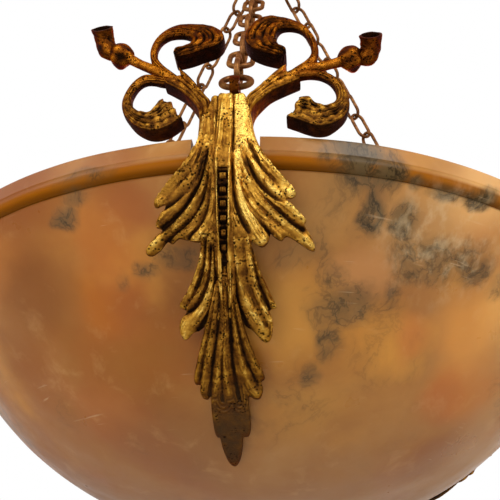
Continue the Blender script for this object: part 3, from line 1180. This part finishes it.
def knob_shape(sign):
    """The ribbed bud between the side arm and the cup."""
    end_x, _, end_z = SIDE_ARM[sign][-1]
    (x, z), = crest_frame([(end_x, end_z)], sign)
    rows, sides = 19, 32
    a = np.repeat(np.linspace(0, math.pi, rows), sides)
    b = np.tile(2 * math.pi * np.arange(sides) / sides, rows)
    rib = 0.06 * np.sin(5 * b + 2.6 * a) + 0.04 * np.sin(3 * b - 4 * a)
    r = KNOB_R * (np.sin(a) * (1 + 0.12 * np.sin(2 * a)) * (1 + rib) + 0.02)
    verts = np.c_[x + sign * KNOB_R * np.cos(a), -CREST_MID + r * np.sin(b), z + r * np.cos(b)]
    return Shape(verts, band_faces(rows, sides) + cap_faces(rows, sides), 8 * rib, 0.32)


def crest_shapes():
    """Both halves of the crest; each value row runs along its ribbon."""
    made = []
    head, arm = HEAD_T / 2, ARM_T / 2
    for sign in (1, -1):
        made.append(ribbon(UPPER_SCROLL[sign], sign, [2.2, arm, arm, arm, 2.6, 4.0, head, head, head],
                           [2.2, arm, arm, arm, 2.6, 3.6, head, head, head],
                           [3, 2.4, 2.4, 2.4, 3, 5, 7, 7, 7], SCROLL_GROOVES,
                           [0.46, 0.42, 0.38, 0.36, 0.33, 0.32], UPPER_TEETH[sign], 0.52, 0.45))
        made.append(ribbon(LOWER_SCROLL[sign], sign, [2.4, arm, arm, 2.6, 3.6, head, head, head],
                           [2.4, arm, arm, 2.6, 3.4, head, head, head],
                           [3, 2.4, 2.4, 3, 4, 6, 7, 7], SCROLL_GROOVES,
                           [0.46, 0.42, 0.40, 0.41, 0.44, 0.46], LOWER_TEETH[sign], 0.55, 0.6))
        gold = np.array([0.62, 0.60, 0.56, 0.52, 0.50, 0.48, 0.46]) + (0.12 if sign > 0 else 0)
        made.append(ribbon(TRUNK[sign], sign, [8.2, 8.4, 8.0, 6.6, 5.4, 4.8, 4.6, 4.6],
                           [3.6, 3.6, 3.8, 4.0, 4.0, 4.0, 4.0, 4.0], [5, 5, 5, 5, 5, 5, 6, 6],
                           TRUNK_GROOVES, gold, TRUNK_TEETH[sign], 0.1, 0.25))
        made += [arm_shape(sign), knob_shape(sign), cup_shape(sign)]
    return made


def lug_shape():
    """The plate behind the neck, with the eye that the mount ring hangs in."""
    eye_x, eye_z = LUG_EYE
    turn = -0.45
    outer = [(PLATE_OUT, PLATE_LOW), (PLATE_OUT, 12), (RIM_R - 5, 24)]
    outer += [(eye_x + LUG_R * math.cos(a + turn), eye_z + LUG_R * math.sin(a + turn))
              for a in np.linspace(-0.5 * math.pi, 1.1 * math.pi, 22)]
    outer += [(RIM_R - 14, 22), (PLATE_IN, PLATE_LOW)]
    hole = [(eye_x + LUG_EYE_R * math.cos(a), eye_z + LUG_EYE_R * math.sin(a))
            for a in np.linspace(0, 2 * math.pi, 24, endpoint=False)]
    edges = loop_edges(len(outer)) + loop_edges(len(hole), len(outer))
    out = delaunay_2d_cdt([Vector(p) for p in outer + hole], edges, [], 1, 1e-6)
    tris = []
    for f in out[2]:
        centre = sum((out[0][v] for v in f), Vector((0, 0))) / 3
        if (centre - Vector(LUG_EYE)).length > LUG_EYE_R * 0.98:
            tris.append(tuple(f))
    verts = [(x, -v.x, v.y) for x in (-LUG_T / 2, LUG_T / 2) for v in out[0]]
    return Shape(verts, plate_faces(tris, len(out[0])), 0.0, 0.35)


def boss_shape(height):
    """A round boss that reaches from inside the leaf to the stone or the buffer on it."""
    end = float(leaf_radius(height)) - BOSS_SUNK
    path = [(0, -end + BOSS_STEP, height), (0, -end, height)]
    boss = tube(path, BOSS_R, sides=28, side_way=(0, 0, 1))
    foot = boss.verts[:, 1] > -end + BOSS_STEP / 2
    reach = stone_radius(boss.verts[foot, 2]) + BUFFER_T + THINNEST
    boss.verts[foot, 1] = -np.sqrt(reach ** 2 - boss.verts[foot, 0] ** 2)
    return boss


def tang_shape():
    """The bar that lies in the notch of the bowl."""
    half = TANG_W / 2
    corners = [(x, y, z) for x in (-half, half) for y in (-PLATE_OUT, -PLATE_IN) for z in (PLATE_LOW, 2.0)]
    box = [(0, 1, 3, 2), (4, 6, 7, 5), (0, 4, 5, 1), (2, 3, 7, 6), (0, 2, 6, 4), (1, 5, 7, 3)]
    return Shape(corners, box, 0.0, 0.3)


# Chains and rings
def wire_loop(straight, mean, wire, arc_steps):
    """A round ring, or an oval link with a butt joint in one of its straight sides."""
    def arc(centre, start):
        turn = [start + math.pi * k / arc_steps for k in range(arc_steps + 1)]
        return [(centre + mean * math.cos(a), mean * math.sin(a), 0) for a in turn]
    path = arc(straight, -math.pi / 2)
    if straight:
        path += [(x, mean, 0) for x in np.linspace(straight, -straight, 6)[1:-1]]
    path += arc(-straight, math.pi / 2)
    if straight:
        path += [(x, -mean, 0) for x in (-straight / 2, -0.35, -0.08, 0.08, 0.35, straight / 2)]
    path = np.array(path)
    path = path[np.linalg.norm(path - np.roll(path, 1, axis=0), axis=1) > 1e-6]
    radii = np.full(len(path), wire / 2)
    if straight:
        radii[(np.abs(path[:, 0]) < 0.1) & (path[:, 1] < 0)] *= SEAM_SHARE
    return tube(path, radii, closed=True, side_way=(0, 0, 1))


def place_on_chain(shape, along, turned):
    """Sets a link on the chain line, its length along the chain; turned ones stand on edge."""
    run, rise = EAR_AT[0] - RING_AT[0], EAR_AT[1] - RING_AT[1]
    reach = math.hypot(run, rise)
    ahead = np.array([0, -run / reach, rise / reach])
    across = np.array([1.0, 0, 0])
    normal = np.cross(ahead, across)
    if turned:
        across, normal = normal, -across
    centre = np.array([0, -RING_AT[0], RING_AT[1]]) + along * ahead
    v = shape.verts
    return Shape(centre + v[:, :1] * ahead + v[:, 1:2] * across + v[:, 2:] * normal, shape.faces)


def chain_shape():
    link = wire_loop(LINK_SPAN / 2 - LINK_MEAN, LINK_MEAN, LINK_WIRE, 14)
    first = RING_MEAN + FIRST_BAR + LINK_SPAN / 2
    return join([place_on_chain(link, first + k * LINK_PITCH, k % 2 == 0) for k in range(LINKS)])


mount = join(leaf_shapes() + crest_shapes()
             + [lug_shape(), boss_shape(-SCREW_H), boss_shape(-BUFFER_H), tang_shape()])
chain = chain_shape()
ring = place_on_chain(wire_loop(0, RING_MEAN, RING_WIRE, 20), 0, False)
for i, side in enumerate(SIDES):
    piece(f"leaf_casting_{side}", mount, GILT, f"leaf_mount_{side}", i, CASTING_CRISP)
for i, side in enumerate(SIDES):
    piece(f"chain_links_{side}", chain, CHAIN, f"chain_{side}", i, WIRE_CRISP)
    piece(f"ring_wire_{side}", ring, CHAIN, f"mount_ring_{side}", i, WIRE_CRISP)


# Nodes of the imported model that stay, each with its finish
def three(name):
    return [f"{name}_{k}" for k in (1, 2, 3)]


KEPT = {
    STEEL: ["crossbar", "steel_washers"] + three("bulb_tip"),
    CANOPY: ["canopy", "hook_loop", "crown", "crown_eye", "crown_nut"],
    BRASS: ["threaded_tube", "tube_locknut", "mount_nuts", "lamp_bridge", "bridge_nut", "cluster_tube",
            "cluster_body", "cluster_cap", "holder_nipples", "socket_sleeves", "socket_contacts"]
    + three("holder_shell"),
    CHAIN: ["shackle"],
    GILT: ["mount_screws", "buffer_rivets"],
    LEATHER: ["leather_washers", "leather_buffers"],
    PORCELAIN: three("holder_core"),
    CAP_METAL: three("bulb_cap"),
    GLASS: three("bulb_glass"),
    FILAMENT: three("bulb_filament"),
}
for material, names in KEPT.items():
    for name in names:
        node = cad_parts[name]
        node.data.materials.clear()
        node.data.materials.append(material)


# Stage
def add_floor():
    h, z = FLOOR_HALF, RIM_Z * MM - FLOOR_DROP
    corners = np.array([(-h, -h, z), (h, -h, z), (h, h, z), (-h, h, z)])
    floor = new_object("floor", corners, [(0, 1, 2, 3)], plain("floor", (236, 234, 230), 0.9))


def add_world():
    """White where it is seen, in reflections or through glass, and dimmer as a light."""
    t = Tree("studio", bpy.data.worlds, "Background")
    shown = t.node("Is Camera Ray", "ShaderNodeLightPath")
    for name in ("Is Glossy Ray", "Is Transmission Ray"):
        shown = t.math("MAXIMUM", shown, t.node(name, "ShaderNodeLightPath"))
    level = t.node("Result", "ShaderNodeMapRange", Value=shown, To_Min=WORLD_LIGHT, To_Max=1.0)
    bpy.context.scene.world = t.set(Color=(1, 1, 1, 1), Strength=level)


def add_lights():
    """Round lamps that look at the bowl: place, diameter, power, colour."""
    middle = Vector((0, 0, RIM_Z * MM - AIM_DROP))
    for name, where, size, power, colour in (
            ("key", (0.9, -1.5, 0.4), 0.8, 18, (1.0, 0.97, 0.92)),
            ("fill", (-1.3, -1.2, 0.1), 1.1, 9, (1, 1, 1)),
            ("back", (0.3, 1.6, 0.6), 1.2, 12, (1, 1, 1)),
            ("low", (-0.3, -1.1, -0.8), 0.8, 5, (1, 1, 1))):
        data = bpy.data.lights.new(name, "AREA")
        data.shape = "DISK"
        data.size = size
        data.energy = power
        data.color = colour
        lamp = bpy.data.objects.new(name, data)
        bpy.context.scene.collection.objects.link(lamp)
        lamp.location = where
        lamp.rotation_mode = "QUATERNION"
        lamp.rotation_quaternion = (middle - Vector(where)).to_track_quat("-Z", "Y")


def add_camera():
    """The photograph's view, from a fit to the rim, the notch and the lower outline."""
    turn, pitch, roll = (math.radians(a) for a in (CAMERA_TURN, CAMERA_PITCH, CAMERA_ROLL))
    ahead = Vector((-math.cos(pitch) * math.sin(turn), math.cos(pitch) * math.cos(turn), math.sin(pitch)))
    right = Vector((math.cos(turn), math.sin(turn), 0))
    up = right.cross(ahead)
    side = math.cos(roll) * right + math.sin(roll) * up
    over = -math.sin(roll) * right + math.cos(roll) * up
    data = bpy.data.cameras.new("camera")
    data.sensor_width = 36
    data.lens = FOCAL_PX / PHOTO_PX * data.sensor_width
    data.shift_x = (PHOTO_PX / 2 - CENTRE_PX) / PHOTO_PX
    data.clip_start = 0.01
    data.clip_end = 50
    cam = bpy.data.objects.new("camera", data)
    bpy.context.scene.collection.objects.link(cam)
    turned = Matrix((side, over, -ahead)).transposed().to_4x4()
    spot = Vector((math.sin(turn) * CAMERA_AWAY, -math.cos(turn) * CAMERA_AWAY, -CAMERA_BELOW)) * RIM_R * MM
    turned.translation = spot + Vector((0, 0, RIM_Z * MM))
    cam.matrix_world = turned
    bpy.context.scene.camera = cam


add_floor()
add_world()
add_lights()
add_camera()
bpy.context.scene.view_settings.view_transform = "Standard"
